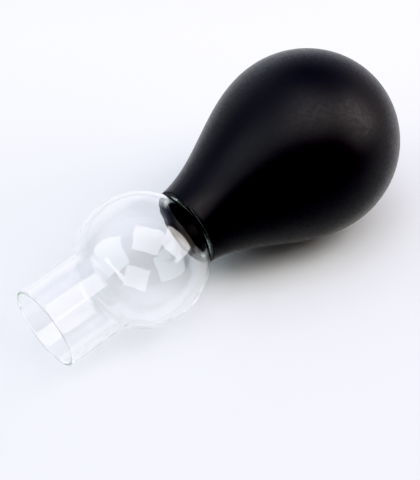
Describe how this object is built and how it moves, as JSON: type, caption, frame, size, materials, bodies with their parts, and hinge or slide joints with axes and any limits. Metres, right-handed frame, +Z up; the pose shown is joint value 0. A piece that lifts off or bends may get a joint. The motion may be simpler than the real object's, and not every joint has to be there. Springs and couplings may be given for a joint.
{
  "type": "bulb aspirator",
  "caption": "Hand suction aspirator lying on its side: a clear glass tube with a round trap, its neck pushed into a teardrop-shaped black rubber squeeze bulb.",
  "frame": {"origin": "on the table, at the centre of the lying object's footprint box (bottom centre of the bounding box)", "axes": "+Z up; +X from the open glass mouth towards the rubber bulb's closed end, level; the object's own axis climbs 7.69 degrees towards +X because it rests on the small glass trap and on the larger rubber bulb"},
  "size_m": [0.1328, 0.0584, 0.0584],
  "materials": {
    "clear_glass": "clear blown borosilicate, fire-polished edges",
    "black_rubber": "smooth moulded black rubber with a soft satin sheen"
  },
  "bodies": {
    "glass": {"glass_body": "clear_glass"},
    "bulb": {"rubber_bulb": "black_rubber"}
  },
  "joints": [
    {"name": "bulb_pull_off", "type": "slide", "parent": "glass", "child": "bulb", "axis": [0.991, 0, 0.1338], "range_m": [0, 0.025]}
  ]
}
